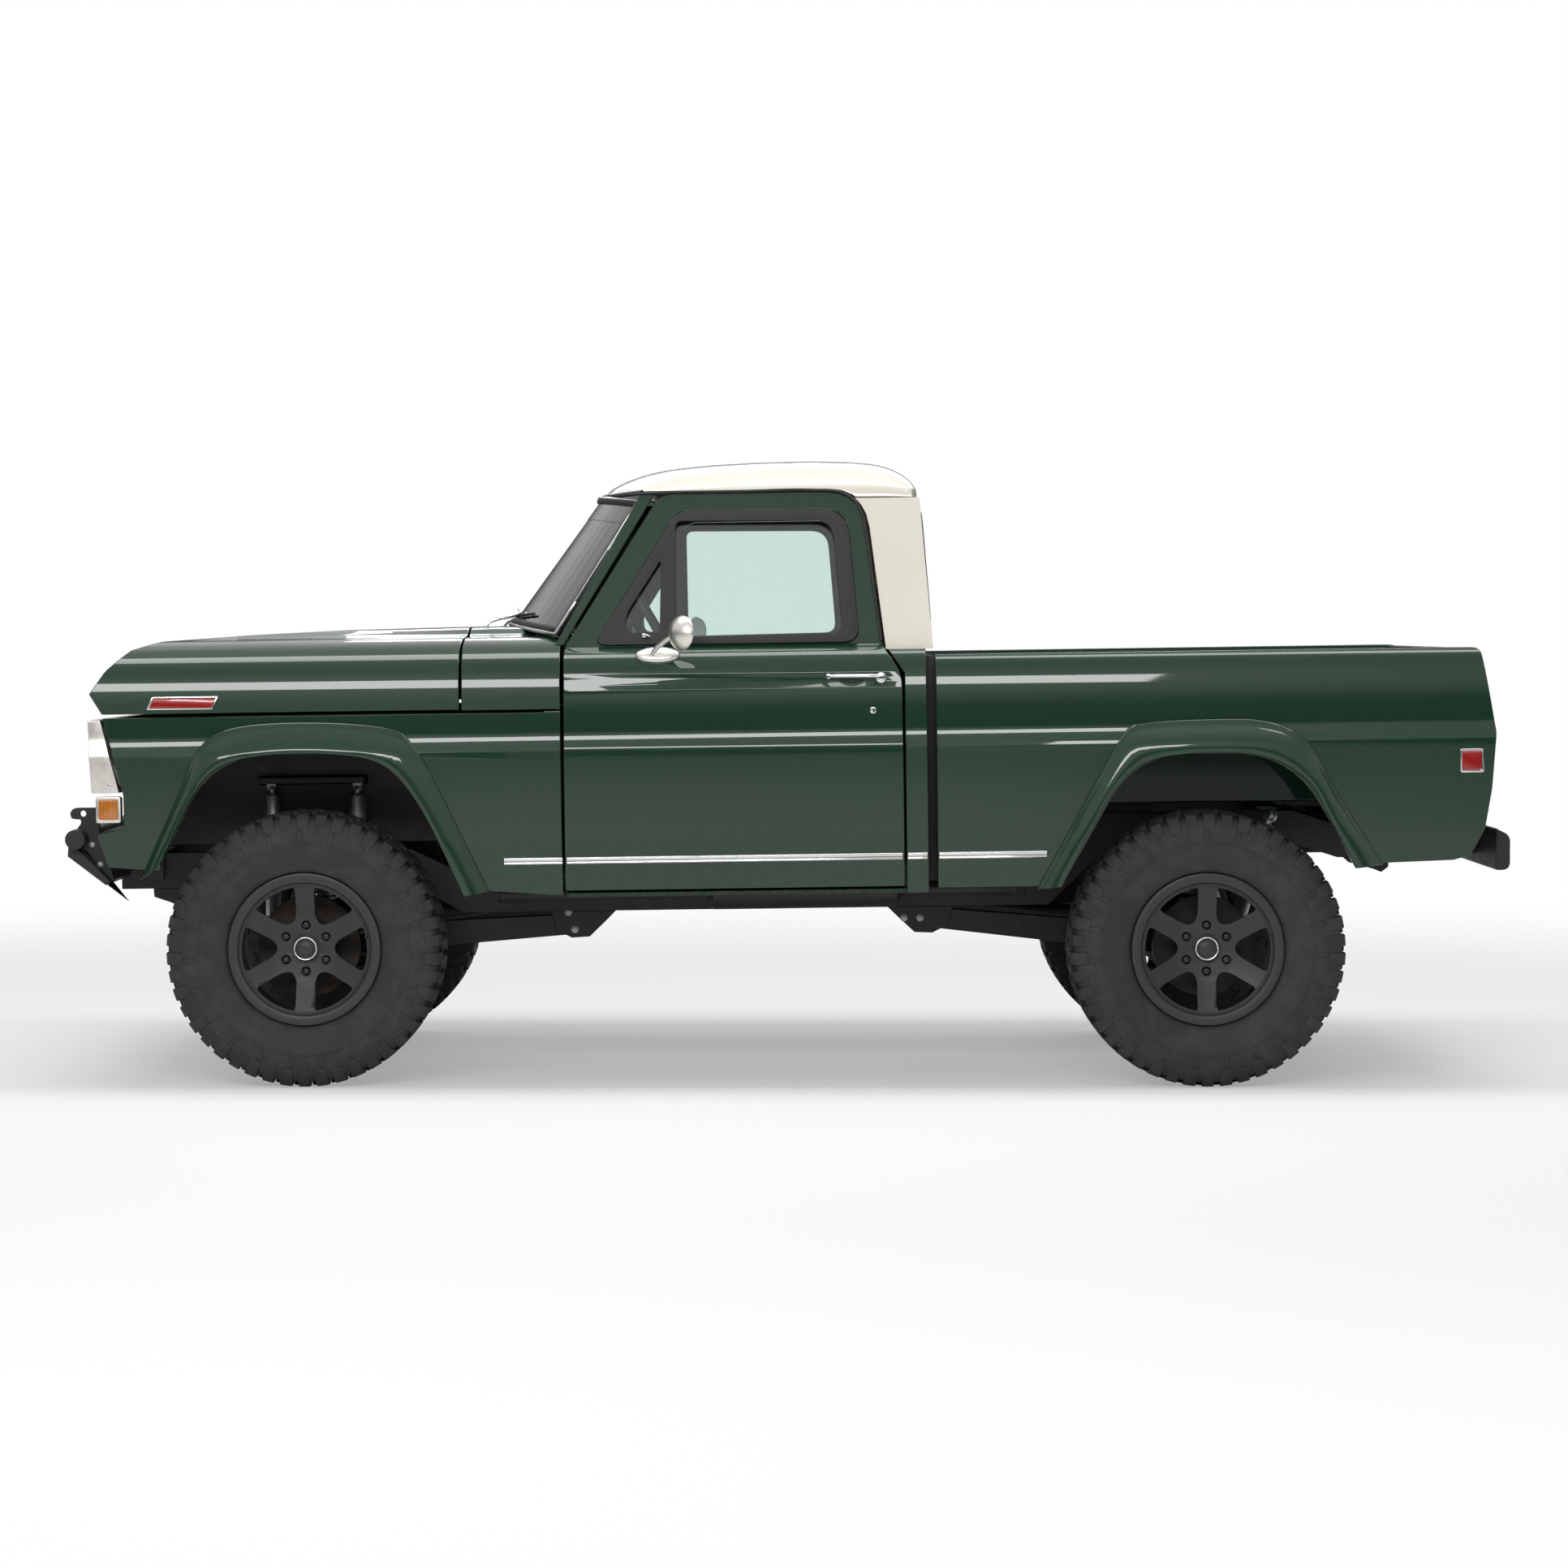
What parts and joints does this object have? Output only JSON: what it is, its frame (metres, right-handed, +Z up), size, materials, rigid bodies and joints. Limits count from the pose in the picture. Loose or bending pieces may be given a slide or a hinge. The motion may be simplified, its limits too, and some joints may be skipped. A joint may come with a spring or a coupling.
{
  "type": "pickup truck",
  "caption": "Lifted single-cab pickup with solid axles on long arms, steered front wheels, opening doors, hood and tailgate.",
  "frame": {"origin": "on the ground, under the middle of the truck's bounding box", "axes": "+Z up, nose towards -X, tail towards +X, driver's side towards -Y"},
  "size_m": [4.677, 2.2284, 2.0508],
  "materials": {
    "green_paint": "gloss",
    "cream_paint": "gloss",
    "black_steel": "satin",
    "cast": "matt",
    "steel": "satin",
    "chrome": "polished",
    "aluminium": "satin",
    "glass": "clear",
    "red_lens": "gloss",
    "clear_lens": "gloss",
    "rubber": "matt",
    "black_alloy": "satin",
    "vinyl": "satin",
    "black_plastic": "matt"
  },
  "bodies": {
    "chassis": {"frame_rails": "black_steel", "frame_crossmembers": "black_steel", "frame_brackets": "black_steel", "shock_hoops": "black_steel", "engine_block": "cast", "gearbox": "cast", "propeller_shafts": "black_steel", "exhaust": "steel", "fuel_tank": "black_steel", "front_axle": "black_steel", "rear_axle": "black_steel", "suspension_arms": "black_steel", "coil_springs": "steel", "shock_absorbers": "steel", "cab_floor": "green_paint", "cab_rear": "green_paint", "cowl": "green_paint", "windshield_posts": "green_paint", "cab_roof": "cream_paint", "windshield": "glass", "rear_window": "glass", "bench_seat": "vinyl", "dashboard": "black_plastic", "steering_column": "black_plastic", "fender_right": "green_paint", "fender_left": "green_paint", "inner_fenders": "black_steel", "front_valance": "green_paint", "grille": "aluminium", "front_lamps": "clear_lens", "front_bumper": "black_steel", "bed_floor": "green_paint", "bed_walls": "green_paint", "wheel_housings": "green_paint", "bed_side_right": "green_paint", "bed_side_left": "green_paint", "tail_lamps": "red_lens", "rear_bumper": "black_steel", "fender_flares": "green_paint"},
    "hood": {"hood": "green_paint"},
    "tailgate": {"tailgate": "green_paint"},
    "door_right": {"door_right": "green_paint", "door_glass_right": "glass", "mirror_right": "chrome"},
    "door_left": {"door_left": "green_paint", "door_glass_left": "glass", "mirror_left": "chrome"},
    "steering_wheel": {"steering_wheel": "black_plastic"},
    "knuckle_right": {"knuckle_right": "cast"},
    "knuckle_left": {"knuckle_left": "cast"},
    "tie_rod": {"tie_rod": "steel"},
    "pitman_arm": {"pitman_arm": "cast"},
    "wheel_front_right": {"tyre_front_right": "rubber", "wheel_front_right": "black_alloy"},
    "wheel_front_left": {"tyre_front_left": "rubber", "wheel_front_left": "black_alloy"},
    "wheel_rear_right": {"tyre_rear_right": "rubber", "wheel_rear_right": "black_alloy"},
    "wheel_rear_left": {"tyre_rear_left": "rubber", "wheel_rear_left": "black_alloy"}
  },
  "joints": [
    {"name": "steer_left", "type": "hinge", "parent": "chassis", "child": "knuckle_left", "pos_m": [-1.565, -0.715, 0.446], "axis": [0, 0, 1], "range_deg": [-30, 30]},
    {"name": "steer_right", "type": "hinge", "parent": "chassis", "child": "knuckle_right", "pos_m": [-1.565, 0.715, 0.446], "axis": [0, 0, 1], "range_deg": [-30, 30]},
    {"name": "tie_rod_pin", "type": "hinge", "parent": "knuckle_left", "child": "tie_rod", "pos_m": [-1.425, -0.715, 0.342], "axis": [0, 0, 1], "range_deg": [-30, 30]},
    {"name": "pitman_turn", "type": "hinge", "parent": "chassis", "child": "pitman_arm", "pos_m": [-1.455, -0.29, 0.355], "axis": [0, 0, 1], "range_deg": [-30, 30]},
    {"name": "steering_wheel_turn", "type": "hinge", "parent": "chassis", "child": "steering_wheel", "pos_m": [-0.40896, -0.39, 1.42643], "axis": [0.8678, 0, 0.497], "range_deg": [-480, 480]},
    {"name": "spin_front_left", "type": "hinge", "parent": "knuckle_left", "child": "wheel_front_left", "pos_m": [-1.565, -0.83, 0.446], "axis": [0, -1, 0], "continuous": true},
    {"name": "spin_front_right", "type": "hinge", "parent": "knuckle_right", "child": "wheel_front_right", "pos_m": [-1.565, 0.83, 0.446], "axis": [0, -1, 0], "continuous": true},
    {"name": "spin_rear_left", "type": "hinge", "parent": "chassis", "child": "wheel_rear_left", "pos_m": [1.356, -0.83, 0.446], "axis": [0, -1, 0], "continuous": true},
    {"name": "spin_rear_right", "type": "hinge", "parent": "chassis", "child": "wheel_rear_right", "pos_m": [1.356, 0.83, 0.446], "axis": [0, -1, 0], "continuous": true},
    {"name": "door_left_hinge", "type": "hinge", "parent": "chassis", "child": "door_left", "pos_m": [-0.71689, -1.017, 0.99009], "axis": [0.014, 0, -0.9999], "range_deg": [0, 65]},
    {"name": "door_right_hinge", "type": "hinge", "parent": "chassis", "child": "door_right", "pos_m": [-0.71689, 1.017, 0.99009], "axis": [-0.014, 0, 0.9999], "range_deg": [0, 65]},
    {"name": "hood_hinge", "type": "hinge", "parent": "chassis", "child": "hood", "pos_m": [-1.06288, 0, 1.4883], "axis": [0, 1, 0], "range_deg": [0, 50]},
    {"name": "tailgate_hinge", "type": "hinge", "parent": "chassis", "child": "tailgate", "pos_m": [2.24086, 0, 0.95638], "axis": [0, 1, 0], "range_deg": [0, 90]}
  ],
  "couplings": [
    {"joint": "steer_right", "follows": "steer_left", "ratio": 1},
    {"joint": "tie_rod_pin", "follows": "steer_left", "ratio": -1},
    {"joint": "pitman_turn", "follows": "steer_left", "ratio": 1},
    {"joint": "steering_wheel_turn", "follows": "steer_left", "ratio": 16}
  ]
}
